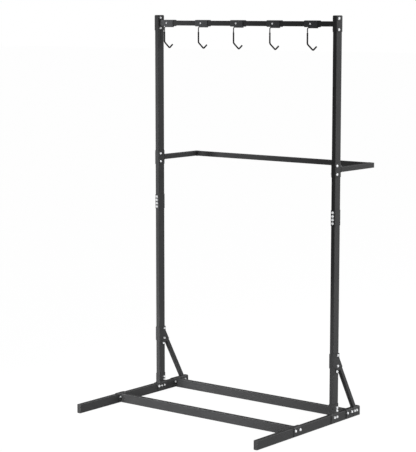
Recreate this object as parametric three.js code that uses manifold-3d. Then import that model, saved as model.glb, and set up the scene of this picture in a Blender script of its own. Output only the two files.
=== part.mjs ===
// Vertical bike stand: two posts on long feet, tied by two floor crossbars, a top bar with sliding
// hooks, and a U-shaped guard frame behind the posts.
// Millimetres, +X to the right, -Y to the front, +Z up. The origin is on the floor, at the middle
// of the stand's width and depth.
import * as THREE from 'three';
import { mergeVertices } from 'three/addons/utils/BufferGeometryUtils.js';
import Module from 'manifold-3d';

const wasm = await Module();
wasm.setup();

// Overall size
const standHeight = 1950;
const postSpacing = 1090;
const footFrontReach = 626;
const footRearReach = 214;
const guardReach = 312;
const postDepthPlace = (footFrontReach - guardReach) / 2;

// Flat rectangular tube of the posts, feet and crossbars
const tubeWidth = 22;
const tubeDepth = 45;
const tubeWall = 1.5;
const tubeCorner = 2.5;

// Square tubes of the top bar, the guard frame and the braces
const barSize = 25;
const barWall = 1.5;
const barCorner = 2;
const guardSize = 25;
const guardWall = 1.5;
const guardCorner = 2;
const braceSize = 20;
const braceWall = 1.5;
const braceCorner = 2;

// Fits: a tube in its sleeve, faces that rest on each other, a weld's bite into its plate, and the
// length by which every cutter runs past what it cuts
const slipFit = 0.3;
const seatGap = 0.2;
const weldBite = 0.4;
const overrun = 5;

// Sheet of the brackets: thin sleeves round the posts, thicker saddles over the feet
const sleeveWall = 1.8;
const collarWall = 1.5;
const braceSleeveWall = 2.5;
const saddleWall = 2.5;
const saddleFloorGap = 4;
const ventHole = 6;
const ventInset = 40;

// Hexagon bolts and nuts
const boltSize = 6;
const boltHole = 7;
const boltTail = 2;
const headAcross = 10;
const headHeight = 4;
const nutHeight = 5;
const fastenerSides = 6;

// Plastic end plugs: a lip with a dished face, and a hollow insert that grips the tube's inside
const plugLip = 3;
const plugInsert = 7;
const plugInsertWall = 1.5;
const plugFit = 0.3;
const plugDish = 1;
const plugRim = 3;

// Floor crossbars: places along the feet from the post's centre, and their saddles
const crossbarPlaces = { front: -315, rear: 121 };
const crossbarSaddleLength = 58;
const crossbarBoltOffset = 18.5;
const footBoltHeight = 30;

// Post shoe: a saddle over the foot with a short sleeve for the post on it
const shoeFrontReach = 37;
const shoeRearReach = 31;
const shoeSleeveHeight = 47;
const shoeFootBoltOffset = 10.5;
const shoeScrewPlace = -30;
const shoePostBoltPlace = 10;
const shoePostBoltRise = 13;
const shoePostBoltStep = 14;

// Splice of the two post halves
const spliceHeight = 998;
const collarLength = 74;
const spliceBoltStep = 17.2;
const spliceBoltCount = 4;

// Braces: from a sleeve on the post down to a saddle on the foot's rear end
const braceTopHeight = 306;
const braceFootPlace = 173;
const braceSleeveLength = 70;
const braceSleeveBoltPlace = 12;
const braceSleeveBoltOffset = 26;
const braceCheekReach = 46;
const braceCheekInset = 1.5;
const braceLugPlace = 6;
const braceLugDrop = 53;
const braceLugRadius = 9;
const braceSaddleFront = 20;
const braceSaddleRear = 37;
const braceSaddleBoltOffset = 9;

// Top bar, with its sleeves flush with the tops of the post tubes
const barDrop = 40;
const barBoltOffset = 26;
const barBoltPlace = -9;

// Guard frame, above the splice
const guardRise = 228;
const guardSleeveLength = 70;
const guardBoltOffset = 20.5;
const guardBoltPlace = -12;

// Hooks: a square sleeve that slides on the top bar, a bent rod welded under it, a rubber cover on
// the rod's lower part, and a clamp screw. Heights count down from the bar's centre. A stretch of the
// bar stays free beyond the first hook and beyond the last
const hookCount = 5;
const barLeftFree = 12;
const barRightFree = 91;
const hookFit = 0.5;
const hookSleeveWall = 3;
const hookSleeveLength = 76;
const hookSleeveCorner = 4;
const rodSize = 5.5;
const rodSides = 8;
const rodRunEnd = 32;
const rodShankPlace = -29;
const rodShankBend = 8;
const rodElbowDepth = 96;
const rodElbowBend = 14;
const rodValleyPlace = 4;
const rodValleyDepth = 125;
const rodValleyBend = 6;
const rodTipPlace = 23;
const rodTipDepth = 108;
const rodBendSteps = 3;
const coverStartDepth = 44;
const coverBore = 5.9;
const coverSize = 7.8;
const coverTip = 2;
const screwSize = 5;
const screwHole = 5.5;
const screwHeadSize = 8.5;
const screwHeadHeight = 3.5;
const screwStandOff = 1.5;
const screwSocketAcross = 4;
const screwSocketDepth = 2;

// Places worked out from the sizes above
const saddleTop = tubeDepth + slipFit + saddleWall;
const postFoot = saddleTop + seatGap;
const postTop = standHeight - plugLip;
const barHeight = standHeight - barDrop;
const guardHeight = spliceHeight + guardRise;
const barInside = postSpacing / 2 - tubeWidth / 2 - slipFit - sleeveWall;
const firstHookPlace = barLeftFree + hookSleeveLength / 2 - barInside;
const lastHookPlace = barInside - hookSleeveLength / 2 - barRightFree;
const hookPitch = (lastHookPlace - firstHookPlace) / (hookCount - 1);

// Counts of flat sides that stand for a round form: a tube's corner, a lug, a hole, a vent, a screw
// head and a hexagon
const cornerSides = 2;
const lugSides = 6;
const holeSides = 6;
const ventSides = 8;
const screwSides = 16;
const hexagonSides = 6;

// For each axis, the two axes across it and the axis itself
const axisFrames = {
  x: [new THREE.Vector3(0, 1, 0), new THREE.Vector3(0, 0, 1), new THREE.Vector3(1, 0, 0)],
  y: [new THREE.Vector3(0, 0, 1), new THREE.Vector3(1, 0, 0), new THREE.Vector3(0, 1, 0)],
  z: [new THREE.Vector3(1, 0, 0), new THREE.Vector3(0, 1, 0), new THREE.Vector3(0, 0, 1)],
};

// Solids for cutting and joining

function solidFromGeometry(geometry) {
  const bare = geometry.clone();
  bare.deleteAttribute('normal');
  bare.deleteAttribute('uv');
  const merged = mergeVertices(bare);
  return new wasm.Manifold(new wasm.Mesh({
    numProp: 3,
    vertProperties: new Float32Array(merged.attributes.position.array),
    triVerts: new Uint32Array(merged.index.array),
  }));
}

function geometryFromSolid(solid) {
  const mesh = solid.getMesh();
  const geometry = new THREE.BufferGeometry();
  const vertices = new Float32Array(mesh.vertProperties);
  const corners = new Uint32Array(mesh.triVerts);
  geometry.setAttribute('position', new THREE.BufferAttribute(vertices, mesh.numProp));
  geometry.setIndex(new THREE.BufferAttribute(corners, 1));
  geometry.computeVertexNormals();
  return geometry;
}

// An outline drawn in the two axes across the run, and extruded along the run. Each round stretch
// of it gets the given number of sides, which is twice the count that the outline is divided by
function extrudeAlong(axis, shape, from, to, roundSides = cornerSides) {
  const geometry = new THREE.ExtrudeGeometry(shape, {
    depth: to - from,
    bevelEnabled: false,
    curveSegments: roundSides / 2,
  });
  geometry.translate(0, 0, from);
  geometry.applyMatrix4(new THREE.Matrix4().makeBasis(...axisFrames[axis]));
  return solidFromGeometry(geometry);
}

function roundedRectangle(width, height, radius, outline = new THREE.Shape()) {
  const x = width / 2 - radius;
  const y = height / 2 - radius;
  const quarter = Math.PI / 2;
  outline.absarc(x, y, radius, 0, quarter);
  outline.absarc(-x, y, radius, quarter, 2 * quarter);
  outline.absarc(-x, -y, radius, 2 * quarter, 3 * quarter);
  outline.absarc(x, -y, radius, 3 * quarter, 4 * quarter);
  outline.closePath();
  return outline;
}

function tubeOutline(width, height, wall, corner) {
  const outline = roundedRectangle(width, height, corner);
  const bore = roundedRectangle(width - 2 * wall, height - 2 * wall, corner - wall, new THREE.Path());
  outline.holes.push(bore);
  return outline;
}

// The outline of a sleeve that slips over a tube of the given outer size
function sleeveOutline(width, height, wall) {
  const growth = slipFit + wall;
  return tubeOutline(width + 2 * growth, height + 2 * growth, wall, tubeCorner + growth);
}

function boxSolid(from, to) {
  const geometry = new THREE.BoxGeometry(to.x - from.x, to.y - from.y, to.z - from.z);
  geometry.translate((from.x + to.x) / 2, (from.y + to.y) / 2, (from.z + to.z) / 2);
  return solidFromGeometry(geometry);
}

// A round cutter along an axis, centred on a point
function drill(axis, at, diameter, length, sides = holeSides) {
  const geometry = new THREE.CylinderGeometry(diameter / 2, diameter / 2, length, sides);
  geometry.rotateX(Math.PI / 2);
  geometry.applyMatrix4(new THREE.Matrix4().makeBasis(...axisFrames[axis]));
  geometry.translate(at.x, at.y, at.z);
  return solidFromGeometry(geometry);
}

function drillAll(solid, axis, places, diameter, length, sides = holeSides) {
  return places.reduce((cut, at) => cut.subtract(drill(axis, at, diameter, length, sides)), solid);
}

// Bolt places in the frame of one post: x is zero at the post's centre plane

function pairAbout(centre, offset) {
  return [centre - offset, centre + offset];
}

const crossbarBoltPlaces = Object.values(crossbarPlaces)
  .flatMap((place) => pairAbout(place, crossbarBoltOffset))
  .map((y) => new THREE.Vector3(0, y, footBoltHeight));
const shoeFootBoltPlaces = pairAbout(0, shoeFootBoltOffset)
  .map((y) => new THREE.Vector3(0, y, footBoltHeight));
const shoePostBoltPlaces = [shoePostBoltRise, shoePostBoltRise + shoePostBoltStep]
  .map((rise) => new THREE.Vector3(0, shoePostBoltPlace, saddleTop + rise));
const braceFootBoltPlaces = pairAbout(braceFootPlace, braceSaddleBoltOffset)
  .map((y) => new THREE.Vector3(0, y, footBoltHeight));
const bracePostBoltPlaces = [
  ...pairAbout(braceTopHeight, braceSleeveBoltOffset)
    .map((z) => new THREE.Vector3(0, braceSleeveBoltPlace, z)),
  new THREE.Vector3(0, braceLugPlace, braceTopHeight - braceLugDrop),
];
const guardBoltPlaces = pairAbout(guardHeight, guardBoltOffset)
  .map((z) => new THREE.Vector3(0, guardBoltPlace, z));
const barBoltPlaces = pairAbout(barHeight, barBoltOffset)
  .map((z) => new THREE.Vector3(0, barBoltPlace, z));
const spliceBoltPlaces = Array.from({ length: spliceBoltCount }, (_, index) => {
  const step = index - (spliceBoltCount - 1) / 2;
  return new THREE.Vector3(0, 0, spliceHeight + step * spliceBoltStep);
});
const acrossX = tubeWidth + 2 * (slipFit + saddleWall + overrun);
const acrossY = tubeDepth + 2 * (slipFit + saddleWall + overrun);

// Thickness of the stack that each kind of bolt clamps
const overSaddle = tubeWidth + 2 * (slipFit + saddleWall);
const overSleeve = tubeWidth + 2 * (slipFit + sleeveWall);
const overBraceSleeve = tubeWidth + 2 * (slipFit + braceSleeveWall);
const overCollar = tubeDepth + 2 * (slipFit + collarWall);

const facingOut = (side) => new THREE.Vector3(side, 0, 0);
const facingFront = new THREE.Vector3(0, -1, 0);
const facingRear = new THREE.Vector3(0, 1, 0);
const facingUp = new THREE.Vector3(0, 0, 1);

// Hexagon bolts

function hexagonSolid(across, from, to) {
  const radius = across / 2 / Math.cos(Math.PI / hexagonSides);
  return rodSolid(2 * radius, from, to, hexagonSides);
}

function rodSolid(diameter, from, to, sides = fastenerSides) {
  const geometry = new THREE.CylinderGeometry(diameter / 2, diameter / 2, to - from, sides);
  geometry.rotateX(Math.PI / 2);
  geometry.translate(0, 0, (from + to) / 2);
  return solidFromGeometry(geometry);
}

// A bolt with its nut, along +Z: the clamped stack is centred on the origin, the head on top
function boltWithNut(stack, gap) {
  const seat = stack / 2 + gap;
  const head = hexagonSolid(headAcross, seat, seat + headHeight);
  const nut = hexagonSolid(headAcross, -seat - nutHeight, -seat);
  return head.add(nut).add(rodSolid(boltSize, -seat - nutHeight - boltTail, seat + weldBite));
}

function turnTo(solid, facing) {
  const turn = new THREE.Quaternion().setFromUnitVectors(facingUp, facing);
  return solid.transform(new THREE.Matrix4().makeRotationFromQuaternion(turn).elements);
}

// Bolts whose head and nut are drawn up tight on the bracket that carries them
function withBolts(bracket, places, stack, facing) {
  const bolt = turnTo(boltWithNut(stack, -weldBite), facing);
  return places.reduce((sum, at) => sum.add(bolt.translate(at.toArray())), bracket);
}

// Feet, and saddles that straddle them

function footSolid(side) {
  const outline = tubeOutline(tubeDepth, tubeWidth, tubeWall, tubeCorner);
  const lip = plugLip + seatGap;
  const tube = extrudeAlong('y', outline, lip - footFrontReach, footRearReach - lip);
  const raised = tube.translate([0, 0, tubeDepth / 2]);
  const bolts = [...crossbarBoltPlaces, ...shoeFootBoltPlaces, ...braceFootBoltPlaces];
  const drilled = drillAll(raised, 'x', bolts, boltHole, acrossX);
  const innerWall = new THREE.Vector3(-side * tubeWidth / 2, shoeScrewPlace, footBoltHeight);
  return drilled.subtract(drill('x', innerWall, boltHole, tubeWidth));
}

// An inverted channel over the foot, open at the bottom so that the foot itself stands on the floor
function saddleSolid(from, to) {
  const channel = extrudeAlong('y', sleeveOutline(tubeDepth, tubeWidth, saddleWall), from, to);
  const half = tubeWidth / 2 + slipFit + saddleWall + overrun;
  const below = boxSolid(
    new THREE.Vector3(-half, from - overrun, -tubeDepth),
    new THREE.Vector3(half, to + overrun, saddleFloorGap),
  );
  return channel.translate([0, 0, tubeDepth / 2]).subtract(below);
}

// A crossbar tube welded between two saddles, vented underneath near both ends
function crossbarSolid() {
  const inside = postSpacing / 2 - tubeWidth / 2 - slipFit - saddleWall;
  const outline = tubeOutline(tubeWidth, tubeDepth, tubeWall, tubeCorner);
  const weldedEnd = inside + weldBite;
  const tube = extrudeAlong('x', outline, -weldedEnd, weldedEnd).translate([0, 0, tubeDepth / 2]);
  const half = crossbarSaddleLength / 2;
  const vents = [-1, 1].map((side) => new THREE.Vector3(side * (inside - ventInset), 0, 0));
  const places = pairAbout(0, crossbarBoltOffset).map((y) => new THREE.Vector3(0, y, footBoltHeight));
  const joined = [-1, 1].reduce((sum, side) => {
    const saddle = withBolts(saddleSolid(-half, half), places, overSaddle, facingOut(side));
    return sum.add(saddle.translate([side * postSpacing / 2, 0, 0]));
  }, tube);
  return drillAll(joined, 'z', vents, ventHole, tubeDepth, ventSides);
}

// The post's shoe: saddle over the foot, sleeve round the post's lower end
function shoeSolid(side) {
  const saddle = saddleSolid(-shoeFrontReach, shoeRearReach);
  const outline = sleeveOutline(tubeWidth, tubeDepth, sleeveWall);
  const sleeve = extrudeAlong('z', outline, saddleTop - weldBite, saddleTop + shoeSleeveHeight);
  const innerFlange = new THREE.Vector3(-side * acrossX / 2, shoeScrewPlace, footBoltHeight);
  const drilled = saddle.add(sleeve).subtract(drill('x', innerFlange, boltHole, tubeWidth));
  const onFoot = withBolts(drilled, shoeFootBoltPlaces, overSaddle, facingOut(side));
  return withBolts(onFoot, shoePostBoltPlaces, overSleeve, facingOut(side));
}

// Posts in two halves, joined by an outer collar

function postHalfSolid(from, to, sideBolts, faceBolts) {
  const outline = tubeOutline(tubeWidth, tubeDepth, tubeWall, tubeCorner);
  const tube = extrudeAlong('z', outline, from, to);
  const sideDrilled = drillAll(tube, 'x', sideBolts, boltHole, acrossX);
  return drillAll(sideDrilled, 'y', faceBolts, boltHole, acrossY);
}

function lowerPostSolid() {
  const sideBolts = [...shoePostBoltPlaces, ...bracePostBoltPlaces];
  const faceBolts = spliceBoltPlaces.filter((at) => at.z < spliceHeight);
  return postHalfSolid(postFoot, spliceHeight - seatGap / 2, sideBolts, faceBolts);
}

function upperPostSolid() {
  const sideBolts = [...guardBoltPlaces, ...barBoltPlaces];
  const faceBolts = spliceBoltPlaces.filter((at) => at.z > spliceHeight);
  return postHalfSolid(spliceHeight + seatGap / 2, postTop - seatGap, sideBolts, faceBolts);
}

function collarSolid() {
  const outline = sleeveOutline(tubeWidth, tubeDepth, collarWall);
  const half = collarLength / 2;
  const collar = extrudeAlong('z', outline, spliceHeight - half, spliceHeight + half);
  return drillAll(collar, 'y', spliceBoltPlaces, boltHole, acrossY);
}

// Brace: a slanted tube welded to a sleeve with side cheeks on the post and to a saddle on the foot

const braceRun = new THREE.Vector2(braceFootPlace - tubeDepth / 2, tubeDepth - braceTopHeight);
const braceLean = Math.atan2(braceRun.x, -braceRun.y);

function cheekOutline(sleeveTop, sleeveBottom, sleeveRear) {
  const along = braceRun.clone().normalize();
  const outward = new THREE.Vector2(-along.y, along.x);
  const top = new THREE.Vector2(tubeDepth / 2, braceTopHeight);
  const edge = (offset, reach) => top.clone()
    .addScaledVector(outward, offset)
    .addScaledVector(along, reach);
  const halfWidth = braceSize / 2 - braceCheekInset;
  const upperEdge = edge(halfWidth, 0);
  const meet = (sleeveRear - upperEdge.x) / along.x;
  const lugHeight = braceTopHeight - braceLugDrop;
  const outline = new THREE.Shape();
  outline.moveTo(0, sleeveTop);
  outline.lineTo(0, sleeveBottom);
  outline.lineTo(braceLugPlace - braceLugRadius, lugHeight);
  outline.absarc(braceLugPlace, lugHeight, braceLugRadius, Math.PI, 2 * Math.PI);
  outline.lineTo(...edge(-halfWidth, braceCheekReach).toArray());
  outline.lineTo(...edge(halfWidth, braceCheekReach).toArray());
  outline.lineTo(...edge(halfWidth, meet).toArray());
  outline.lineTo(sleeveRear, sleeveTop);
  outline.closePath();
  return outline;
}

function braceTubeSolid(sleeveRear) {
  const length = braceRun.length();
  const outline = tubeOutline(braceSize, braceSize, braceWall, braceCorner);
  const tube = extrudeAlong('z', outline, -tubeDepth, length + tubeDepth);
  const slanted = tube.rotate([THREE.MathUtils.radToDeg(braceLean), 0, 0])
    .translate([0, braceFootPlace, tubeDepth]);
  const reach = braceFootPlace + standHeight;
  const throughPost = boxSolid(
    new THREE.Vector3(-tubeWidth, -reach, -reach),
    new THREE.Vector3(tubeWidth, sleeveRear - weldBite, reach),
  );
  const throughFoot = boxSolid(
    new THREE.Vector3(-tubeWidth, -reach, -reach),
    new THREE.Vector3(tubeWidth, reach, saddleTop - weldBite),
  );
  const ventCentre = braceFootPlace - ventInset * Math.sin(braceLean) + braceSize / 2;
  const vent = new THREE.Vector3(0, ventCentre, tubeDepth + ventInset * Math.cos(braceLean));
  return slanted.subtract(throughPost).subtract(throughFoot)
    .subtract(drill('y', vent, ventHole, braceSize, ventSides));
}

function braceSolid(side) {
  const growth = slipFit + braceSleeveWall;
  const sleeveRear = tubeDepth / 2 + growth;
  const sleeveBottom = braceTopHeight - braceSleeveLength / 2;
  const sleeveTop = braceTopHeight + braceSleeveLength / 2;
  const outline = sleeveOutline(tubeWidth, tubeDepth, braceSleeveWall);
  const sleeve = extrudeAlong('z', outline, sleeveBottom, sleeveTop);
  const cheekInside = tubeWidth / 2 + slipFit;
  const cheek = cheekOutline(sleeveTop, sleeveBottom, sleeveRear);
  const cheekOutside = cheekInside + braceSleeveWall;
  const cheeks = extrudeAlong('x', cheek, -cheekOutside, cheekOutside, lugSides);
  const betweenCheeks = boxSolid(
    new THREE.Vector3(-cheekInside, -tubeDepth, 0),
    new THREE.Vector3(cheekInside, braceFootPlace, braceTopHeight + braceSleeveLength),
  );
  const saddle = saddleSolid(braceFootPlace - braceSaddleFront, braceFootPlace + braceSaddleRear);
  const joined = sleeve.add(cheeks.subtract(betweenCheeks)).add(braceTubeSolid(sleeveRear)).add(saddle);
  const onPost = withBolts(joined, bracePostBoltPlaces, overBraceSleeve, facingOut(side));
  return withBolts(onPost, braceFootBoltPlaces, overSaddle, facingOut(side));
}

// Top bar welded between two sleeves that slip over the posts

function topBarSolid() {
  const weldedEnd = barInside + weldBite;
  const outline = tubeOutline(barSize, barSize, barWall, barCorner);
  const tube = extrudeAlong('x', outline, -weldedEnd, weldedEnd);
  const half = postTop - barHeight;
  const sleeve = extrudeAlong('z', sleeveOutline(tubeWidth, tubeDepth, sleeveWall), -half, half);
  const places = pairAbout(0, barBoltOffset).map((z) => new THREE.Vector3(0, barBoltPlace, z));
  const drilled = drillAll(sleeve, 'x', places, boltHole, acrossX);
  const ventPlace = barInside - ventInset / 2;
  const vents = [-1, 1].map((side) => new THREE.Vector3(side * ventPlace, 0, -barSize / 2));
  const joined = [-1, 1].reduce((sum, side) => {
    const sleeveAtPost = drilled.translate([side * postSpacing / 2, 0, 0]);
    return sum.add(sleeveAtPost);
  }, tube);
  return drillAll(joined, 'z', vents, ventHole, barSize, ventSides);
}

// Guard frame: an arm welded to a sleeve on each post, and a bar welded between the arms' rear ends

function guardArmSolid() {
  const sleeveRear = tubeDepth / 2 + slipFit + sleeveWall;
  const half = guardSleeveLength / 2;
  const sleeve = extrudeAlong('z', sleeveOutline(tubeWidth, tubeDepth, sleeveWall), -half, half);
  const outline = tubeOutline(guardSize, guardSize, guardWall, guardCorner);
  const arm = extrudeAlong('y', outline, sleeveRear - weldBite, guardReach - plugLip - seatGap);
  const places = pairAbout(0, guardBoltOffset).map((z) => new THREE.Vector3(0, guardBoltPlace, z));
  return drillAll(sleeve.add(arm), 'x', places, boltHole, acrossX);
}

function guardRearBarSolid() {
  const half = postSpacing / 2 - guardSize / 2 - seatGap;
  return extrudeAlong('x', tubeOutline(guardSize, guardSize, guardWall, guardCorner), -half, half);
}

// An end plug for a tube end that faces +Z: the lip's underside lies at z = 0
function plugSolid(width, height, wall, corner) {
  const lip = extrudeAlong('z', roundedRectangle(width, height, corner), 0, plugLip);
  const dish = roundedRectangle(width - 2 * plugRim, height - 2 * plugRim, corner);
  const dished = lip.subtract(extrudeAlong('z', dish, plugLip - plugDish, plugLip + overrun));
  const shrink = 2 * (wall + plugFit);
  const insertCorner = Math.max(corner - wall, plugFit);
  const outerCorner = insertCorner + plugInsertWall;
  const insert = tubeOutline(width - shrink, height - shrink, plugInsertWall, outerCorner);
  return dished.add(extrudeAlong('z', insert, -plugInsert, weldBite));
}

// A short screw that only holds a saddle's inner flange to the foot's inner wall
function flangeScrewSolid() {
  const seat = overSaddle / 2 + seatGap;
  const tip = tubeWidth / 2 - tubeWall - boltTail;
  const head = hexagonSolid(headAcross, seat, seat + headHeight);
  return head.add(rodSolid(boltSize, tip, seat + weldBite));
}

// Hook rod: a flat path of straight runs and round bends, with a station wherever it turns

class BentRodPath extends THREE.Curve {
  constructor(corners, bends) {
    super();
    this.stations = [{ point: corners[0], tangent: corners[1].clone().sub(corners[0]).normalize() }];
    bends.forEach((radius, index) => this.addBend(corners, index + 1, radius));
    const [before, last] = corners.slice(-2);
    this.stations.push({ point: last, tangent: last.clone().sub(before).normalize() });
  }

  addBend(corners, index, radius) {
    const corner = corners[index];
    const into = corner.clone().sub(corners[index - 1]).normalize();
    const out = corners[index + 1].clone().sub(corner).normalize();
    const turn = into.angleTo(out);
    const start = corner.clone().addScaledVector(into, -radius * Math.tan(turn / 2));
    const inward = out.clone().addScaledVector(into, -out.dot(into)).normalize();
    for (let step = 0; step <= rodBendSteps; step += 1) {
      const angle = turn * step / rodBendSteps;
      const point = start.clone()
        .addScaledVector(into, radius * Math.sin(angle))
        .addScaledVector(inward, radius * (1 - Math.cos(angle)));
      const tangent = into.clone().multiplyScalar(Math.cos(angle)).addScaledVector(inward, Math.sin(angle));
      this.stations.push({ point, tangent });
    }
  }

  stationAt(share) {
    return this.stations[Math.round(share * (this.stations.length - 1))];
  }

  getPointAt(share) {
    return this.stationAt(share).point.clone();
  }

  getTangentAt(share) {
    return this.stationAt(share).tangent.clone();
  }

  getSpacedPoints() {
    return this.stations.map(({ point }) => point.clone());
  }
}

function sweptRodSolid(path, diameter) {
  const section = new THREE.Shape();
  section.absarc(0, 0, diameter / 2, 0, 2 * Math.PI);
  const geometry = new THREE.ExtrudeGeometry(section, {
    steps: path.stations.length - 1,
    curveSegments: rodSides / 2,
    extrudePath: path,
  });
  return solidFromGeometry(geometry);
}

function hookPoint(place, depth) {
  return new THREE.Vector3(place, 0, -depth);
}

const hookHalf = barSize / 2 + hookFit + hookSleeveWall;
const rodRunDepth = hookHalf + rodSize / 2 - weldBite;
const rodTip = hookPoint(rodTipPlace, rodTipDepth);
const rodLowerCorners = [
  hookPoint(rodShankPlace, rodElbowDepth),
  hookPoint(rodValleyPlace, rodValleyDepth),
];

// The tip moved on along its own direction, by the length that a cover or a cutter needs
function tipBeyond(length) {
  const rise = rodTip.clone().sub(rodLowerCorners[1]).normalize();
  return rodTip.clone().addScaledVector(rise, length);
}

function hookSolid() {
  const outer = 2 * hookHalf;
  const outline = tubeOutline(outer, outer, hookSleeveWall, hookSleeveCorner);
  const half = hookSleeveLength / 2;
  const sleeve = extrudeAlong('x', outline, -half, half);
  const front = new THREE.Vector3(0, -hookHalf, 0);
  const tapped = sleeve.subtract(drill('y', front, screwHole, hookHalf, ventSides));
  const corners = [
    hookPoint(rodRunEnd, rodRunDepth),
    hookPoint(rodShankPlace, rodRunDepth),
    ...rodLowerCorners,
    rodTip,
  ];
  const rod = sweptRodSolid(new BentRodPath(corners, [rodShankBend, rodElbowBend, rodValleyBend]), rodSize);
  return tapped.add(rod);
}

// The cover is closed at the rod's tip, and its bore runs out of its upper end
function coverSolid() {
  const bends = [rodElbowBend, rodValleyBend];
  const top = hookPoint(rodShankPlace, coverStartDepth);
  const above = hookPoint(rodShankPlace, coverStartDepth - overrun);
  const skinPath = new BentRodPath([top, ...rodLowerCorners, tipBeyond(coverTip)], bends);
  const borePath = new BentRodPath([above, ...rodLowerCorners, tipBeyond(slipFit)], bends);
  return sweptRodSolid(skinPath, coverSize).subtract(sweptRodSolid(borePath, coverBore));
}

// Clamp screw with a hexagon socket, along +Z into the sleeve's front wall
function clampScrewSolid() {
  const face = hookHalf + screwStandOff;
  const tip = barSize / 2 + seatGap;
  const head = rodSolid(screwHeadSize, face, face + screwHeadHeight, screwSides);
  const shank = rodSolid(screwSize, tip, face + weldBite, ventSides);
  const headTop = face + screwHeadHeight;
  const socket = hexagonSolid(screwSocketAcross, headTop - screwSocketDepth, headTop + overrun);
  return head.add(shank).subtract(socket);
}

// Finishes

function finish(color, roughness, metalness) {
  return new THREE.MeshStandardMaterial({ color, roughness, metalness });
}

const powderCoat = () => finish(0x3b3c3d, 0.5, 0.3);
const hookCoat = () => finish(0x55585a, 0.5, 0.3);
const zinc = () => finish(0xd8dade, 0.3, 0.9);
const plugPlastic = () => finish(0x1c1c1d, 0.6, 0);
const rubber = () => finish(0x0f0f10, 0.8, 0);

function part(name, solid, material) {
  const mesh = new THREE.Mesh(geometryFromSolid(solid), material);
  mesh.name = name;
  return mesh;
}

function faceAndPlace(mesh, facing, at) {
  mesh.quaternion.setFromUnitVectors(facingUp, facing);
  mesh.position.copy(at);
}

function plug(name, solid, facing, at) {
  const mesh = part(name, solid, plugPlastic());
  faceAndPlace(mesh, facing, at);
  return mesh;
}

// One side of the stand: foot, shoe, post, splice, brace and guard arm round the post's centre line

function sideAssembly(side, label) {
  const group = new THREE.Group();
  group.position.set(side * postSpacing / 2, postDepthPlace, 0);
  const guardArm = part(`guard_arm_${label}`, guardArmSolid(), powderCoat());
  guardArm.position.z = guardHeight;
  group.add(
    part(`foot_${label}`, footSolid(side), powderCoat()),
    part(`post_shoe_${label}`, shoeSolid(side), powderCoat()),
    part(`lower_post_${label}`, lowerPostSolid(), powderCoat()),
    part(`upper_post_${label}`, upperPostSolid(), powderCoat()),
    part(`splice_collar_${label}`, collarSolid(), powderCoat()),
    part(`brace_${label}`, braceSolid(side), powderCoat()),
    guardArm,
  );
  const footPlug = plugSolid(tubeWidth, tubeDepth, tubeWall, tubeCorner);
  const front = new THREE.Vector3(0, plugLip - footFrontReach, tubeDepth / 2);
  const rear = new THREE.Vector3(0, footRearReach - plugLip, tubeDepth / 2);
  const guardEnd = new THREE.Vector3(0, guardReach - plugLip, guardHeight);
  const guardPlug = plugSolid(guardSize, guardSize, guardWall, guardCorner);
  group.add(
    plug(`foot_front_plug_${label}`, footPlug, facingFront, front),
    plug(`foot_rear_plug_${label}`, footPlug, facingRear, rear),
    plug(`post_plug_${label}`, footPlug, facingUp, new THREE.Vector3(0, 0, postTop)),
    plug(`guard_plug_${label}`, guardPlug, facingRear, guardEnd),
  );
  return group;
}

// Parts that tie the two sides together

function crossParts() {
  const group = new THREE.Group();
  group.position.y = postDepthPlace;
  Object.entries(crossbarPlaces).forEach(([label, place]) => {
    const crossbar = part(`crossbar_${label}`, crossbarSolid(), powderCoat());
    crossbar.position.y = place;
    group.add(crossbar);
  });
  const topBar = part('top_bar', topBarSolid(), powderCoat());
  topBar.position.z = barHeight;
  const rearBar = part('guard_rear_bar', guardRearBarSolid(), powderCoat());
  rearBar.position.set(0, guardReach - plugLip - seatGap - guardSize / 2, guardHeight);
  group.add(topBar, rearBar);
  return group;
}

// Loose fasteners of one side: heads on the stand's outer side, or at the front on the splice

function sideFasteners(side, label) {
  const group = new THREE.Group();
  group.position.set(side * postSpacing / 2, postDepthPlace, 0);
  const sets = [
    ['splice_bolt', spliceBoltPlaces, boltWithNut(overCollar, seatGap), facingFront],
    ['guard_bolt', guardBoltPlaces, boltWithNut(overSleeve, seatGap), facingOut(side)],
    ['top_bar_bolt', barBoltPlaces, boltWithNut(overSleeve, seatGap), facingOut(side)],
  ];
  sets.forEach(([name, places, solid, facing]) => {
    places.forEach((at, index) => {
      const bolt = part(`${name}_${label}_${index + 1}`, solid, zinc());
      faceAndPlace(bolt, facing, at);
      group.add(bolt);
    });
  });
  const screw = part(`shoe_screw_${label}`, flangeScrewSolid(), zinc());
  faceAndPlace(screw, facingOut(-side), new THREE.Vector3(0, shoeScrewPlace, footBoltHeight));
  group.add(screw);
  return group;
}

// Hooks, spread evenly along the top bar from its left end

function hookAssembly(index) {
  const group = new THREE.Group();
  group.position.set(firstHookPlace + index * hookPitch, postDepthPlace, barHeight);
  const label = `hook_${index + 1}`;
  const screw = part(`${label}_screw`, clampScrewSolid(), zinc());
  faceAndPlace(screw, facingFront, new THREE.Vector3());
  group.add(
    part(label, hookSolid(), hookCoat()),
    part(`${label}_cover`, coverSolid(), rubber()),
    screw,
  );
  return group;
}

const stand = new THREE.Group();
Object.entries({ left: -1, right: 1 }).forEach(([label, side]) => {
  stand.add(sideAssembly(side, label), sideFasteners(side, label));
});
stand.add(crossParts());
for (let index = 0; index < hookCount; index += 1) {
  stand.add(hookAssembly(index));
}

export default stand;
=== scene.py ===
import math

import bpy
from mathutils import Matrix, Vector


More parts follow.
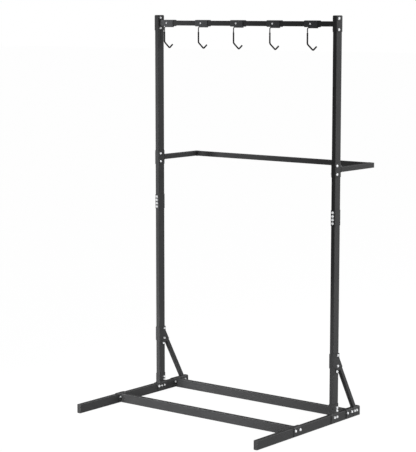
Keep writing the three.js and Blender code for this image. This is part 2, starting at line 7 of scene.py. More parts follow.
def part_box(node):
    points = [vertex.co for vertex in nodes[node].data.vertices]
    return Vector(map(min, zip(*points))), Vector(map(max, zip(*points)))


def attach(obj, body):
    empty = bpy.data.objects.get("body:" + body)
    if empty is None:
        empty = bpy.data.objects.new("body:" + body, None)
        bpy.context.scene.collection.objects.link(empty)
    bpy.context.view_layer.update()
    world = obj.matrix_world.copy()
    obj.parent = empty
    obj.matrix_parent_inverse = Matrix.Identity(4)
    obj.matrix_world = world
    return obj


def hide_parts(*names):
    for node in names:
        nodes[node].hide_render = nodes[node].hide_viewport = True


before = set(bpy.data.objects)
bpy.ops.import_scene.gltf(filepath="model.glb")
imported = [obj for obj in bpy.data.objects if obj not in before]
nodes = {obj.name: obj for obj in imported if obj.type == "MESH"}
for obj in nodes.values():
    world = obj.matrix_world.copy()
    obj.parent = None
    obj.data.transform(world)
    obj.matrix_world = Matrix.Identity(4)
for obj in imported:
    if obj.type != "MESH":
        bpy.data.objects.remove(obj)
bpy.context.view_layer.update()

# Feet
# Two flat steel tubes lie on edge on the floor, one along each side of the stand. They are cut
# square, drilled for the brackets' bolts and powder-coated charcoal, with rounded rolled corners.

mm = 0.001
sides = {"left": -1, "right": 1}
seam_reach = 0.002 * mm
fold_angle = math.radians(50)
none_to_full = (0, 1)
coat_patches = {"Scale": 7, "Detail": 3}
coat_patch_spread = (0.3, 0.7)
coat_patch_tone = (0.93, 1.07)
coat_patch_sheen = (-0.05, 0.05)
# Painted highlight: where rolled corners bend and face up, and how much paler their colour is made
coat_rolled_bend = (0.02, 0.12)
coat_rolled_rise = (0.05, 0.3)
coat_corner_highlight = (1, 1.8)
coat_upward_rise = (0.6, 1)
coat_dulling = (0, 0.54)
coat_dust = {"Scale": 38, "Detail": 6}
coat_dust_colour = (0.2, 0.19, 0.18, 1)
coat_dust_amount = 0.06
coat_peel = {"Scale": 1100, "Detail": 2}
coat_relief = {"Strength": 0.5, "Distance": 0.04 * mm}
coat_specular = 0.08
charcoal = (0.07, 0.0705, 0.072, 1)
charcoal_roughness = 0.46


def soften(piece, angle=fold_angle):
    """Rolled corners shade round, while cut ends and sheet edges stay crisp."""
    weld = piece.modifiers.new("join_seams", "WELD")
    weld.merge_threshold = seam_reach
    split = piece.modifiers.new("crisp_ends", "EDGE_SPLIT")
    split.split_angle = angle
    split.use_edge_sharp = False
    shade = piece.modifiers.new("round_corners", "WEIGHTED_NORMAL")
    shade.weight = 100
    for face in piece.data.polygons:
        face.use_smooth = True


def add_node(tree, kind, inputs=None, **settings):
    """A shader node with its settings, its inputs set to values or linked to other outputs."""
    node = tree.nodes.new(kind)
    for name, value in settings.items():
        setattr(node, name, value)
    for name, value in (inputs or {}).items():
        if isinstance(value, bpy.types.NodeSocket):
            tree.links.new(value, node.inputs[name])
        else:
            node.inputs[name].default_value = value
    return node


def noise(tree, place, texture):
    return add_node(tree, "ShaderNodeTexNoise", {"Vector": place, **texture}).outputs["Fac"]


def ranged(tree, value, given, wanted):
    """A value carried from its given range to the wanted one, and held at both ends."""
    ends = {"From Min": given[0], "From Max": given[1], "To Min": wanted[0], "To Max": wanted[1]}
    return add_node(tree, "ShaderNodeMapRange", {"Value": value, **ends}).outputs["Result"]


def combined(tree, operation, first, second):
    node = add_node(tree, "ShaderNodeMath", {0: first, 1: second}, operation=operation)
    return node.outputs["Value"]


def scaled(tree, colour, factor):
    node = add_node(tree, "ShaderNodeVectorMath", {0: colour, "Scale": factor}, operation="SCALE")
    return node.outputs["Vector"]


def mixed(tree, share, first, second):
    ends = {"Factor": share, "A": first, "B": second}
    return add_node(tree, "ShaderNodeMix", ends, data_type="RGBA").outputs["Result"]


def start_surface(name, inputs):
    """A node group with the given inputs, which gives out a colour, a roughness and a relief."""
    group = bpy.data.node_groups.new(name, "ShaderNodeTree")
    for label, value in inputs.items():
        kind = "NodeSocketColor" if isinstance(value, tuple) else "NodeSocketFloat"
        socket = group.interface.new_socket(name=label, in_out="INPUT", socket_type=kind)
        socket.default_value = value
    for label in ("Colour", "Roughness", "Relief"):
        kind = "NodeSocketColor" if label == "Colour" else "NodeSocketFloat"
        group.interface.new_socket(name=label, in_out="OUTPUT", socket_type=kind)
    return group, group.nodes.new("NodeGroupInput").outputs


def powder_coat_surface():
    """Tone, sheen and fine orange peel of a powder coat, with a painted highlight that makes
    rolled corners facing up paler, and dulled by a little dust on top."""
    group, given = start_surface("powder_coat_surface", {
        "Coat Colour": charcoal, "Dust Colour": coat_dust_colour,
        "Dust Amount": coat_dust_amount, "Sheen Roughness": charcoal_roughness})
    place = add_node(group, "ShaderNodeTexCoord").outputs["Object"]
    surface = add_node(group, "ShaderNodeNewGeometry").outputs
    patches = noise(group, place, coat_patches)
    tone = ranged(group, patches, coat_patch_spread, coat_patch_tone)
    toned = scaled(group, given["Coat Colour"], tone)

    rise = add_node(group, "ShaderNodeSeparateXYZ", {"Vector": surface["Normal"]}).outputs["Z"]
    normals = {0: surface["Normal"], 1: surface["True Normal"]}
    bend = add_node(group, "ShaderNodeVectorMath", normals, operation="DISTANCE").outputs["Value"]
    # Painted highlight: the coat colour is made paler along rolled corners that face up, standing in
    # for light caught there
    rolled = ranged(group, bend, coat_rolled_bend, none_to_full)
    lifted = ranged(group, rise, coat_rolled_rise, none_to_full)
    highlight_mask = combined(group, "MULTIPLY", rolled, lifted)
    highlighted_colour = scaled(group, toned, ranged(group, highlight_mask, none_to_full, coat_corner_highlight))
    upward = ranged(group, rise, coat_upward_rise, none_to_full)
    settled = combined(group, "MULTIPLY", upward, noise(group, place, coat_dust))
    dusty = combined(group, "MULTIPLY", settled, given["Dust Amount"])

    sheen = ranged(group, patches, none_to_full, coat_patch_sheen)
    rough = combined(group, "ADD", given["Sheen Roughness"], sheen)
    add_node(group, "NodeGroupOutput", {
        "Colour": mixed(group, dusty, highlighted_colour, given["Dust Colour"]),
        "Roughness": combined(group, "ADD", rough, ranged(group, upward, none_to_full, coat_dulling)),
        "Relief": noise(group, place, coat_peel)})
    return group


def surfaced(name, surface, values, relief, constants):
    """A material whose colour, roughness and fine relief come from a surface group."""
    material = bpy.data.materials.new(name)
    material.use_nodes = True
    tree = material.node_tree
    shader = tree.nodes["Principled BSDF"].inputs
    for label, value in constants.items():
        shader[label].default_value = value
    skin = add_node(tree, "ShaderNodeGroup", values, node_tree=surface).outputs
    bump = add_node(tree, "ShaderNodeBump", {"Height": skin["Relief"], **relief})
    tree.links.new(skin["Colour"], shader["Base Color"])
    tree.links.new(skin["Roughness"], shader["Roughness"])
    tree.links.new(bump.outputs["Normal"], shader["Normal"])
    return material


coat_surface = powder_coat_surface()


def powder_coat(name, colour, roughness):
    values = {"Coat Colour": colour, "Sheen Roughness": roughness}
    return surfaced(name, coat_surface, values, coat_relief, {"Specular IOR Level": coat_specular})


charcoal_coat = powder_coat("charcoal_powder_coat", charcoal, charcoal_roughness)


def dress(names, material):
    for name in names:
        piece = nodes[name]
        piece.data.materials.clear()
        piece.data.materials.append(material)
        soften(piece)


dress([f"foot_{side}" for side in sides], charcoal_coat)

# Floor crossbars
# Two flat tubes tie the feet together. Each end is welded all round to a folded saddle that sits
# over the foot, and the weld bead shows as a rippled line under the coat.

rear_way = Vector((0, 1, 0))
up_way = Vector((0, 0, 1))
bar_plane = (rear_way, up_way)
outline_quarters = [(1, 1), (-1, 1), (-1, -1), (1, -1)]
tube_corner_steps = 4
bead_round = 8
bead_step = 0.8 * mm
ripple_pitch = 2.4 * mm
ripple_depth = 0.12
post_x = 545 * mm
tube_width = 22 * mm
tube_depth = 45 * mm
tube_corner = 2.5 * mm
saddle_face = 13.8 * mm
crossbar_bead = 1.7 * mm


def turns(count):
    return [2 * math.pi * step / count for step in range(count)]


def ring_stack(rings, wrapped=False):
    """A closed form from rings of points, its ends capped or its last ring joined to its first."""
    vertices = [point for ring in rings for point in ring]
    count = len(rings[0])
    faces = [] if wrapped else [tuple(reversed(range(count)))]
    for level in range(len(rings) if wrapped else len(rings) - 1):
        first = level * count
        second = (level + 1) % len(rings) * count
        for step in range(count):
            beside = (step + 1) % count
            faces.append((first + step, first + beside, second + beside, second + step))
    if not wrapped:
        faces.append(tuple(range(len(vertices) - count, len(vertices))))
    return vertices, faces


def joined_mesh(name, forms):
    vertices, faces = [], []
    for form_vertices, form_faces in forms:
        start = len(vertices)
        vertices.extend(form_vertices)
        faces.extend(tuple(start + corner for corner in face) for face in form_faces)
    mesh = bpy.data.meshes.new(name)
    mesh.from_pydata(vertices, [], faces)
    mesh.validate()
    return mesh


def add_piece(name, mesh, material, body="stand"):
    piece = bpy.data.objects.new(name, mesh)
    bpy.context.scene.collection.objects.link(piece)
    piece.data.materials.append(material)
    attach(piece, body)
    return piece


def bead_form(path, radius, closed):
    """A round rippled bead along a path of points, half sunk in the corner that it fills."""
    rings = []
    travelled = 0.0
    for index, point in enumerate(path):
        following = path[(index + 1) % len(path)] if closed or index + 1 < len(path) else point
        before = path[index - 1] if closed or index else point
        along = (following - before).normalized()
        across = along.orthogonal().normalized()
        beyond = along.cross(across)
        ripple = abs(math.sin(math.pi * travelled / ripple_pitch))
        here = radius * (1 - ripple_depth + ripple_depth * ripple)
        rings.append([point + here * (math.cos(angle) * across + math.sin(angle) * beyond)
                      for angle in turns(bead_round)])
        travelled += (following - point).length
    return ring_stack(rings, closed)


def add_bead(name, path, radius, material, closed=True, body="stand"):
    mesh = joined_mesh(name, [bead_form(path, radius, closed)])
    bead = add_piece(name, mesh, material, body)
    for face in bead.data.polygons:
        face.use_smooth = True


def rounded_outline(centre, across, along, width, height, corner, steps):
    """A rectangle's outline with round corners, in the plane of the two given directions."""
    points = []
    for turn, (x, y) in enumerate(outline_quarters):
        for step in range(steps + 1):
            angle = math.pi / 2 * (turn + step / steps)
            u = x * (width / 2 - corner) + corner * math.cos(angle)
            v = y * (height / 2 - corner) + corner * math.sin(angle)
            points.append(centre + u * across + v * along)
    return points


def bead_path(centre, plane, width, height, corner):
    """Points round a tube's outline, about a bead's step apart."""
    outline = rounded_outline(centre, *plane, width, height, corner, tube_corner_steps)
    points = []
    for start, end in zip(outline, outline[1:] + outline[:1]):
        run = end - start
        count = max(1, round(run.length / bead_step))
        points.extend(start + run * (step / count) for step in range(count))
    return points


dress(["crossbar_front", "crossbar_rear"], charcoal_coat)
for label in ["front", "rear"]:
    low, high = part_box(f"crossbar_{label}")
    for side, way in sides.items():
        centre = Vector((way * (post_x - saddle_face), (low.y + high.y) / 2, tube_depth / 2))
        path = bead_path(centre, bar_plane, tube_width, tube_depth, tube_corner)
        heights = [point.z for point in path]
        lowest = heights.index(min(heights))
        path = [point for point in path[lowest:] + path[:lowest] if point.z > crossbar_bead]
        add_bead(f"crossbar_{label}_weld_{side}", path, crossbar_bead, charcoal_coat, closed=False)

# Post shoes
# Each shoe is a saddle over the foot with a short rectangular sleeve welded on top of it, into
# which the post drops. Two bolts hold it to the foot and two more hold the post.

right_way = Vector((1, 0, 0))
post_plane = (right_way, rear_way)
post_y = 157 * mm
saddle_top = 47.8 * mm
sleeve_width = 26.2 * mm
sleeve_depth = 49.2 * mm
sleeve_corner = 4.6 * mm
shoe_bead = 1.5 * mm

dress([f"post_shoe_{side}" for side in sides], charcoal_coat)
for side, way in sides.items():
    centre = Vector((way * post_x, post_y, saddle_top))
    path = bead_path(centre, post_plane, sleeve_width, sleeve_depth, sleeve_corner)
    add_bead(f"post_shoe_weld_{side}", path, shoe_bead, charcoal_coat)

# Posts and splice collars
# Each post is two lengths of flat tube that meet inside a thin outer collar, with four bolts
# through the narrow faces. The same charcoal coat covers tubes and collars.

dress([f"{half}_post_{side}" for half in ("lower", "upper") for side in sides], charcoal_coat)
dress([f"splice_collar_{side}" for side in sides], charcoal_coat)

# Braces
# A square tube runs from a sleeve on the post down to a saddle on the foot's rear end. Two cheeks
# of the sleeve's sheet hold its upper end, and it is welded to the saddle below.

brace_foot_y = 173 * mm
brace_rise = 261 * mm
brace_size = 20 * mm
brace_corner = 2 * mm
brace_lean = math.atan2(brace_foot_y - tube_depth / 2, brace_rise)
brace_bead = 1.5 * mm

dress([f"brace_{side}" for side in sides], charcoal_coat)
for side, way in sides.items():
    shift = (saddle_top - tube_depth) * math.tan(brace_lean)
    centre = Vector((way * post_x, post_y + brace_foot_y - shift, saddle_top))
    stretched = brace_size / math.cos(brace_lean)
    path = bead_path(centre, post_plane, brace_size, stretched, brace_corner)
    add_bead(f"brace_weld_{side}", path, brace_bead, charcoal_coat)

# Guard frame
# A square arm is welded to a sleeve on each post and runs to the rear, where a square bar is
# welded between the two arms. The frame is charcoal powder-coated like the posts.

arm_plane = (right_way, up_way)
guard_z = 1226 * mm
guard_size = 25 * mm
guard_corner = 2 * mm
guard_sleeve_face = 24.6 * mm
guard_bead = 1.4 * mm

dress([f"guard_arm_{side}" for side in sides] + ["guard_rear_bar"], charcoal_coat)
low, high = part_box("guard_rear_bar")
for side, way in sides.items():
    centre = Vector((way * post_x, post_y + guard_sleeve_face, guard_z))
    path = bead_path(centre, arm_plane, guard_size, guard_size, guard_corner)
    add_bead(f"guard_arm_weld_{side}", path, guard_bead, charcoal_coat)
    centre = Vector((way * (post_x - guard_size / 2), (low.y + high.y) / 2, guard_z))
    path = bead_path(centre, bar_plane, guard_size, guard_size, guard_corner)
    add_bead(f"guard_bar_weld_{side}", path, guard_bead, charcoal_coat)

# Top bar
# The square bar is welded between two sleeves that slip over the tops of the posts. The hooks are
# threaded on it before the second sleeve is welded.

bar_z = 1910 * mm
bar_size = 25 * mm
bar_corner = 2 * mm
bar_sleeve_face = 13.1 * mm
bar_bead = 1.6 * mm

dress(["top_bar"], charcoal_coat)
for side, way in sides.items():
    centre = Vector((way * (post_x - bar_sleeve_face), post_y, bar_z))
    path = bead_path(centre, bar_plane, bar_size, bar_size, bar_corner)
    add_bead(f"top_bar_weld_{side}", path, bar_bead, charcoal_coat)

# Bolts, nuts and screws
# Bright zinc-plated hexagon bolts with a thin flange under the head go through every bracket, and
# a lock nut with a nylon ring sits on the inner side, with two turns of thread showing.

bolt_round = 24
hexagon_sector = math.pi / 3
chamfer_slope = math.tan(math.radians(30))
hexagon_fold_angle = math.radians(25)
head_flat = 5.1 * mm
head_height = 4 * mm
head_crown_radius = 0.96 * head_flat
head_dish_radius = 0.8 * head_flat
head_dish_depth = 0.3 * mm
seat_radius = 0.9 * head_flat
flange_radius = 6.6 * mm
flange_height = 1 * mm
flange_edge_height = 0.6 * flange_height
flange_top_radius = 0.85 * flange_radius
nut_height = 5.2 * mm
nut_hexagon_height = 0.72 * nut_height
nut_collar_height = 0.9 * nut_height
nut_collar_radius = 0.94 * head_flat
nut_end_radius = 0.9 * head_flat
bolt_radius = 3.05 * mm
bolt_in_nut = 0.5 * mm
thread_pitch = 1 * mm
thread_depth = 0.35 * mm
thread_turns = 4
thread_reach = 2 * mm
zinc_colour = (0.87, 0.88, 0.89, 1)
zinc_roughness = 0.42
zinc_metallic = 0.8
zinc_spangle_scale = 900
zinc_spangle_tone = (0.86, 1)
zinc_spots = {"Scale": 420, "Detail": 4}
zinc_spot_spread = (0.35, 0.75)
zinc_spot_dulling = (0, 0.25)
zinc_relief = {"Strength": 0.3, "Distance": 0.03 * mm}


def zinc_surface():
    """Bright zinc plating: a faint spangle of tone, brushed marks and a few dull spots."""
    group, given = start_surface("zinc_surface", {
        "Zinc Colour": zinc_colour, "Zinc Roughness": zinc_roughness})
    place = add_node(group, "ShaderNodeTexCoord").outputs["Object"]
    cells = {"Vector": place, "Scale": zinc_spangle_scale}
    spangle = add_node(group, "ShaderNodeTexVoronoi", cells).outputs["Color"]
    spots = noise(group, place, zinc_spots)
    dulling = ranged(group, spots, zinc_spot_spread, zinc_spot_dulling)
    tone = ranged(group, spangle, none_to_full, zinc_spangle_tone)
    add_node(group, "NodeGroupOutput", {
        "Colour": scaled(group, given["Zinc Colour"], tone),
        "Roughness": combined(group, "ADD", given["Zinc Roughness"], dulling),
        "Relief": spots})
    return group


bright_zinc = surfaced("bright_zinc", zinc_surface(), {}, zinc_relief, {"Metallic": zinc_metallic})


def turned_ring(radius, height):
    return [Vector((radius * math.cos(angle + math.pi / 2),
                    radius * math.sin(angle + math.pi / 2), height))
            for angle in turns(bolt_round)]


def hexagon_ring(height, chamfer):
    """A hexagon's outline with a corner on the second axis, cut down at its corners by a cone."""
    ring = []
    for angle in turns(bolt_round):
        off_flat = angle % hexagon_sector - hexagon_sector / 2
        radius = head_flat / math.cos(off_flat)
        drop = chamfer * (radius - head_flat) * chamfer_slope
        turned = angle + math.pi / 2
        ring.append(Vector((radius * math.cos(turned), radius * math.sin(turned), height - drop)))
    return ring


def head_forms(seat):
    """A chamfered hexagon head with a shallow dish, on a thin round flange."""
    top = seat + head_height
    flange = ring_stack([turned_ring(flange_radius, seat),
                         turned_ring(flange_radius, seat + flange_edge_height),
                         turned_ring(flange_top_radius, seat + flange_height)])
    head = ring_stack([turned_ring(seat_radius, seat),
                       hexagon_ring(seat, 0),
                       hexagon_ring(top, 1),
                       turned_ring(head_crown_radius, top),
                       turned_ring(head_dish_radius, top - head_dish_depth)])
    return [flange, head]


def nut_forms(seat):
    """A lock nut under its seat, with its round nylon collar, and the bolt's threaded end."""
    flat = seat - nut_hexagon_height
    nut = ring_stack([turned_ring(nut_end_radius, seat - nut_height),
                      turned_ring(nut_collar_radius, seat - nut_collar_height),
                      turned_ring(head_crown_radius, flat),
                      hexagon_ring(flat, -1),
                      hexagon_ring(seat, 0),
                      turned_ring(seat_radius, seat)])
    end = seat - nut_height - thread_reach
    rings = []
    for level in range(2 * thread_turns + 1):
        deep = thread_depth if level % 2 else 0
        rings.append(turned_ring(bolt_radius - deep, end + level * thread_pitch / 2))
    rings.append(turned_ring(bolt_radius, seat - bolt_in_nut))
    return [nut, ring_stack(rings)]


def hexagon_bolt(name, at, facing, stack, node=None, with_nut=True):
    """A bolt across a clamped stack centred on a point, its head towards the given direction."""
    forms = head_forms(stack / 2)
    if with_nut:
        forms += nut_forms(-stack / 2)
    mesh = joined_mesh(name, forms)
    turn = up_way.rotation_difference(facing).to_matrix().to_4x4()
    mesh.transform(Matrix.Translation(at) @ turn)
    bolt = add_piece(name, mesh, bright_zinc)
    soften(bolt, hexagon_fold_angle)
    if node:
        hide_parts(node)


over_saddle = 27.6 * mm
over_sleeve = 26.2 * mm
over_collar = 48.6 * mm
loose_seat = 0.4 * mm
foot_bolt_z = 30 * mm
# How far each pair's middle is behind the post's, and half the distance between its two bolts
foot_bolt_pairs = {
    "crossbar_front_bolt": (-315 * mm, 18.5 * mm),
    "crossbar_rear_bolt": (121 * mm, 18.5 * mm),
    "shoe_foot_bolt": (0, 10.5 * mm),
    "brace_foot_bolt": (brace_foot_y, 9 * mm),
}
# The width that the bolts clamp, and how far each is behind the post's middle and above the floor
post_bolts = {
    "shoe_post_bolt": (over_sleeve, [(10 * mm, 60.8 * mm), (10 * mm, 74.8 * mm)]),
    "brace_post_bolt": (over_saddle, [(12 * mm, 280 * mm), (12 * mm, 332 * mm), (6 * mm, 253 * mm)]),
}
for side, way in sides.items():
    out = way * right_way
    for label, (middle, half) in foot_bolt_pairs.items():
        for count, place in enumerate([middle - half, middle + half], 1):
            at = Vector((way * post_x, post_y + place, foot_bolt_z))
            hexagon_bolt(f"{label}_{side}_{count}", at, out, over_saddle)
    for label, (stack, places) in post_bolts.items():
        for count, (place, height) in enumerate(places, 1):
            at = Vector((way * post_x, post_y + place, height))
            hexagon_bolt(f"{label}_{side}_{count}", at, out, stack)
    loose = [(f"guard_bolt_{side}_{count}", out, over_sleeve) for count in (1, 2)]
    loose += [(f"top_bar_bolt_{side}_{count}", out, over_sleeve) for count in (1, 2)]
    loose += [(f"splice_bolt_{side}_{count}", -rear_way, over_collar) for count in (1, 2, 3, 4)]
    for name, facing, stack in loose:
        low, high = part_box(name)
        at = (low + high) / 2
        if facing == -rear_way:
            at.y = post_y
        else:
            at.x = way * post_x
        hexagon_bolt(f"{name}_detail", at, facing, stack + loose_seat, name)
    name = f"shoe_screw_{side}"
    low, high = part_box(name)
    at = (low + high) / 2
    at.x = way * post_x
    hexagon_bolt(f"{name}_detail", at, -out, over_saddle + loose_seat, name, with_nut=False)

# End plugs
# Moulded dark grey plastic plugs close the ends of the feet, the tops of the posts and the ends of
# the guard arms. Each has a raised edge round a shallow dished face with a fine spark-eroded grain.

moulded_mottle = {"Scale": 90, "Detail": 5}
moulded_mark_spread = (0.5, 0.9)
moulded_mark_share = (0, 0.4)
moulded_sheen = (-0.08, 0.08)
moulded_grain_detail = 2
moulded_grain_strength = 0.6
plug_kinds = ["foot_front_plug", "foot_rear_plug", "post_plug", "guard_plug"]
plug_skin = {"Base Colour": (0.045, 0.045, 0.046, 1), "Mark Colour": (0.07, 0.07, 0.07, 1),
             "Grain Scale": 1600, "Base Roughness": 0.6}
plug_grain_depth = 0.05 * mm
plug_specular = 0.4


def moulded_surface():
    """Moulded matt surface: fine even grain, slight mottling and paler handling marks."""
    group, given = start_surface("moulded_surface", plug_skin)
    place = add_node(group, "ShaderNodeTexCoord").outputs["Object"]
    mottle = noise(group, place, moulded_mottle)
    marks = ranged(group, mottle, moulded_mark_spread, moulded_mark_share)
    sheen = ranged(group, mottle, none_to_full, moulded_sheen)
    grain = {"Scale": given["Grain Scale"], "Detail": moulded_grain_detail}
    add_node(group, "NodeGroupOutput", {
        "Colour": mixed(group, marks, given["Base Colour"], given["Mark Colour"]),
        "Roughness": combined(group, "ADD", given["Base Roughness"], sheen),
        "Relief": noise(group, place, grain)})
    return group


moulded_skin = moulded_surface()


def moulding(name, values, depth, specular):
    relief = {"Strength": moulded_grain_strength, "Distance": depth}
    return surfaced(name, moulded_skin, values, relief, {"Specular IOR Level": specular})


plug_plastic = moulding("grey_plug_plastic", plug_skin, plug_grain_depth, plug_specular)
dress([f"{kind}_{side}" for kind in plug_kinds for side in sides], plug_plastic)

# Hooks
# Each hook is a short square sleeve that slides along the top bar, with a bent steel rod welded
# under it. The rod drops at one end of the sleeve and turns up again in a wide V.

hook_count = 5
hook_outer = 32 * mm
hook_inner = 26 * mm
hook_length = 76 * mm
hook_corner = 4 * mm
hook_bore_corner = 1 * mm
hook_corner_steps = 6
hook_edge = 0.7 * mm
# In shares of the eased edge: in from the sleeve's end, off its size and off its corner radius
hook_edge_profile = [(0, 2, 1), (0.3, 0.5, 0.2), (1, 0, 0)]
rod_radius = 2.78 * mm
rod_round = 20
rod_bend_steps = 8
rod_run_depth = 18.35 * mm
rod_start = Vector((32 * mm, 0, -rod_run_depth))
rod_start_ease = 1 * mm
rod_start_radius = 0.7 * rod_radius
rod_corners = [Vector((-29 * mm, 0, -rod_run_depth)), Vector((-29 * mm, 0, -96 * mm)),
               Vector((4 * mm, 0, -125 * mm))]
rod_bends = [8 * mm, 14 * mm, 6 * mm]
rod_tip = Vector((23 * mm, 0, -108 * mm))
hook_bead = 1.4 * mm
hook_bead_start = 28 * mm
hook_bead_run = 46 * mm
hook_bead_aside = 1.9 * mm
hook_grey = (0.12, 0.123, 0.128, 1)
hook_roughness = 0.42
hook_coat = powder_coat("grey_hook_coat", hook_grey, hook_roughness)


def rod_path(start, corners, bends, end):
    """Straight runs joined by round bends, as points with the direction of travel at each."""
    path = [(start, (corners[0] - start).normalized())]
    ends = [start] + corners + [end]
    for index, radius in enumerate(bends, 1):
        corner = ends[index]
        into = (corner - ends[index - 1]).normalized()
        out = (ends[index + 1] - corner).normalized()
        turn = into.angle(out)
        first = corner - into * radius * math.tan(turn / 2)
        inward = (out - into * out.dot(into)).normalized()
        for step in range(rod_bend_steps + 1):
            angle = turn * step / rod_bend_steps
            point = first + into * radius * math.sin(angle) + inward * radius * (1 - math.cos(angle))
            path.append((point, into * math.cos(angle) + inward * math.sin(angle)))
    path.append((end, (end - ends[-2]).normalized()))
    return path


def swept_rod(stations):
    """A round rod through stations, each a point, the direction of travel there and a radius."""
    rings = []
    for (point, along), radius in stations:
        beyond = along.cross(rear_way)
        rings.append([point + radius * (math.cos(angle) * rear_way + math.sin(angle) * beyond)
                      for angle in turns(rod_round)])
    return ring_stack(rings)


def hook_sleeve_ring(place, size, corner):
    centre = place * right_way
    return rounded_outline(centre, *bar_plane, size, size, corner, hook_corner_steps)


def hook_sleeve_form():
    """The sleeve as one closed band: along its outside with eased ends, and back in its bore."""
    rings = []
    for way, profile in ((-1, hook_edge_profile), (1, hook_edge_profile[::-1])):
        for inward, off_size, off_corner in profile:
            place = way * (hook_length / 2 - inward * hook_edge)
            rings.append(hook_sleeve_ring(place, hook_outer - off_size * hook_edge,
                                          hook_corner - off_corner * hook_edge))
    for way in (1, -1):
        rings.append(hook_sleeve_ring(way * hook_length / 2, hook_inner, hook_bore_corner))
    return ring_stack(rings, wrapped=True)


rod_first, *rod_rest = rod_path(rod_start, rod_corners, rod_bends, rod_tip)
start_way = rod_first[1]
rod_line = [(rod_first, rod_start_radius),
            ((rod_start + rod_start_ease * start_way, start_way), rod_radius)]
rod_line += [(station, rod_radius) for station in rod_rest]
hook_places = {}
for count in range(1, hook_count + 1):
    low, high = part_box(f"hook_{count}_screw")
    hook_places[count] = Vector(((low.x + high.x) / 2, post_y, bar_z))
for count, place in hook_places.items():
    body = f"sliding_hook_{count}"
    mesh = joined_mesh(f"hook_{count}_detail", [hook_sleeve_form(), swept_rod(rod_line)])
    mesh.transform(Matrix.Translation(place))
    hook = add_piece(f"hook_{count}_detail", mesh, hook_coat, body)
    soften(hook)
    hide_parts(f"hook_{count}")
    for side, way in {"front": -1, "rear": 1}.items():
        start = place + Vector((hook_bead_start, way * hook_bead_aside, -hook_outer / 2))
        run = Vector((-hook_bead_run, 0, 0))
        steps = round(run.length / bead_step)
        path = [start + run * (step / steps) for step in range(steps + 1)]
        add_bead(f"hook_{count}_weld_{side}", path, hook_bead, hook_coat,
                 closed=False, body=body)

# Hook covers
# A black rubber tube is pushed over the lower part of each rod as padding. It has a rolled lip at
# its open end, a closed rounded tip, and the matt grain of its mould.

cover_radius = 3.9 * mm
cover_bore = 2.95 * mm
cover_lip = 4.35 * mm
cover_lip_start = 3.95 * mm
cover_start = Vector((-29 * mm, 0, -44 * mm))
cover_past_rod = 0.4 * mm
# Down from the cover's open end, and the radius there
cover_lip_profile = [(0, cover_bore), (0, cover_lip_start), (0.5 * mm, cover_lip),
                     (1.6 * mm, cover_lip), (2.2 * mm, cover_radius)]
# Beyond the cover's last straight point, and the share of its radius there
cover_tip_profile = [(0.7 * mm, 0.95), (1.1 * mm, 0.8), (1.4 * mm, 0.55), (1.6 * mm, 0.15)]
rubber_skin = {"Base Colour": (0.008, 0.008, 0.008, 1), "Mark Colour": (0.02, 0.02, 0.02, 1),
               "Grain Scale": 2200, "Base Roughness": 0.78}
rubber_grain_depth = 0.06 * mm
rubber_specular = 0.3
cover_rubber = moulding("black_hook_rubber", rubber_skin, rubber_grain_depth, rubber_specular)

tip_way = (rod_tip - rod_corners[2]).normalized()
cover_end = rod_tip + cover_past_rod * tip_way
cover_stations = rod_path(cover_start, rod_corners[1:], rod_bends[1:], cover_end)
cover_line = [((cover_start - drop * up_way, -up_way), radius) for drop, radius in cover_lip_profile]
cover_line += [(station, cover_radius) for station in cover_stations[1:]]
cover_line += [((cover_end + beyond * tip_way, tip_way), share * cover_radius)
               for beyond, share in cover_tip_profile]
for count, place in hook_places.items():
    mesh = joined_mesh(f"hook_{count}_cover_detail", [swept_rod(cover_line)])
    mesh.transform(Matrix.Translation(place))
    body = f"sliding_hook_{count}"
    cover = add_piece(f"hook_{count}_cover_detail", mesh, cover_rubber, body)
    soften(cover)
    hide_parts(f"hook_{count}_cover")

# Clamp screws
# A short socket-head screw goes through the front wall of each sleeve and bears on the bar, so
# that the hook stays where it is set. Its zinc-plated head stands a little off the sleeve.

dress([f"hook_{count}_screw" for count in hook_places], bright_zinc)

# Floor, light and camera
# A plain pale floor, a soft sky, a low sun from the rear right, a broad panel at the right and two
# soft panels in front, seen by a long lens from the front right, just above the top bar.

floor_reach = 60
floor_corners = [(-floor_reach, -floor_reach, 0), (floor_reach, -floor_reach, 0),
                 (floor_reach, floor_reach, 0), (-floor_reach, floor_reach, 0)]
floor_tone = 0.2
floor_glow = 0.935
floor_roughness = 0.9
white = (1, 1, 1, 1)
sky_strength = (0.2, 1)
sun_energy = 0.8
# Angles here and below are in degrees, the lens and its sensor in millimetres, the rest in metres
sun_width = 8
camera_lens = 128.95
camera_sensor = 36
camera_reach = 200
camera_place = (4.8189, -6.1796, 1.9708)
camera_dip = 7.57
camera_turn = 38.54


def seen_directly(tree):
    """One for what the camera, a reflection or a clear piece sees of the surroundings, else zero."""
    ray = add_node(tree, "ShaderNodeLightPath").outputs
    either = combined(tree, "MAXIMUM", ray["Is Camera Ray"], ray["Is Glossy Ray"])
    return combined(tree, "MAXIMUM", either, ray["Is Transmission Ray"])


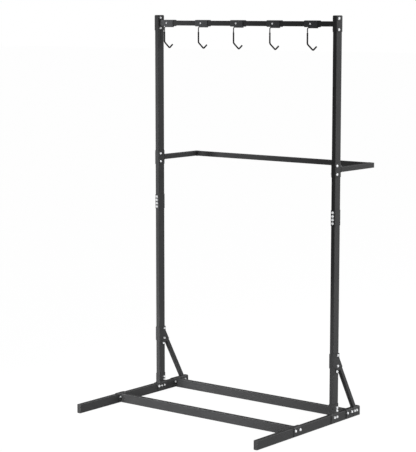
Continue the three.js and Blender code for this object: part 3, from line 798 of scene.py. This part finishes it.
floor_mesh = bpy.data.meshes.new("studio_floor")
floor_mesh.from_pydata(floor_corners, [], [(0, 1, 2, 3)])
floor = bpy.data.objects.new("studio_floor", floor_mesh)
bpy.context.scene.collection.objects.link(floor)
pale_floor = bpy.data.materials.new("pale_floor")
pale_floor.use_nodes = True
tree = pale_floor.node_tree
shader = tree.nodes["Principled BSDF"].inputs
shader["Base Color"].default_value = (floor_tone, floor_tone, floor_tone, 1)
shader["Roughness"].default_value = floor_roughness
shader["Specular IOR Level"].default_value = 0
shader["Emission Color"].default_value = white
glow = combined(tree, "MULTIPLY", seen_directly(tree), floor_glow)
tree.links.new(glow, shader["Emission Strength"])
floor.data.materials.append(pale_floor)

world = bpy.data.worlds.new("studio_sky")
bpy.context.scene.world = world
world.use_nodes = True
sky = world.node_tree
background = sky.nodes["Background"].inputs
background["Color"].default_value = white
sky.links.new(ranged(sky, seen_directly(sky), none_to_full, sky_strength), background["Strength"])


def add_lamp(name, kind, energy, place, source):
    """A lamp that the camera doesn't see, with its light coming from the given direction."""
    lamp = bpy.data.lights.new(name, kind)
    lamp.energy = energy
    holder = bpy.data.objects.new(name, lamp)
    bpy.context.scene.collection.objects.link(holder)
    holder.visible_camera = False
    holder.location = place
    holder.rotation_euler = Vector(source).to_track_quat("Z", "Y").to_euler()
    return holder


def add_panel(name, energy, place, source, width, height, spread):
    """A lamp with a flat rectangular face, which throws its light within the given spread."""
    panel = add_lamp(name, "AREA", energy, place, source)
    panel.data.shape = "RECTANGLE"
    panel.data.size = width
    panel.data.size_y = height
    panel.data.spread = math.radians(spread)
    return panel


sun = add_lamp("rear_right_lamp", "SUN", sun_energy, place=(0, 0, 0), source=(1, 5, 1.6))
sun.data.angle = math.radians(sun_width)
add_panel("right_side_lamp", energy=112, place=(5.25, 0.6, 1.2), source=(1, 0.1, 0),
          width=2.4, height=2.4, spread=180)
add_panel("low_front_lamp", energy=4.3, place=(-0.3, -1.8, 0.35), source=(0, -1, 0.13),
          width=1.8, height=0.25, spread=45)
left_panel = add_panel("left_front_lamp", energy=4.5, place=(-1.0, -1.1, 1.2), source=(-0.3, -1, 0),
                       width=0.3, height=1.6, spread=70)
left_panel.visible_glossy = False

view = bpy.data.cameras.new("front_right_camera")
view.lens = camera_lens
view.sensor_width = camera_sensor
view.clip_end = camera_reach
camera = bpy.data.objects.new("front_right_camera", view)
bpy.context.scene.collection.objects.link(camera)
camera.location = camera_place
camera.rotation_euler = (math.radians(90 - camera_dip), 0, math.radians(camera_turn))
bpy.context.scene.camera = camera
bpy.context.scene.view_settings.view_transform = "Standard"
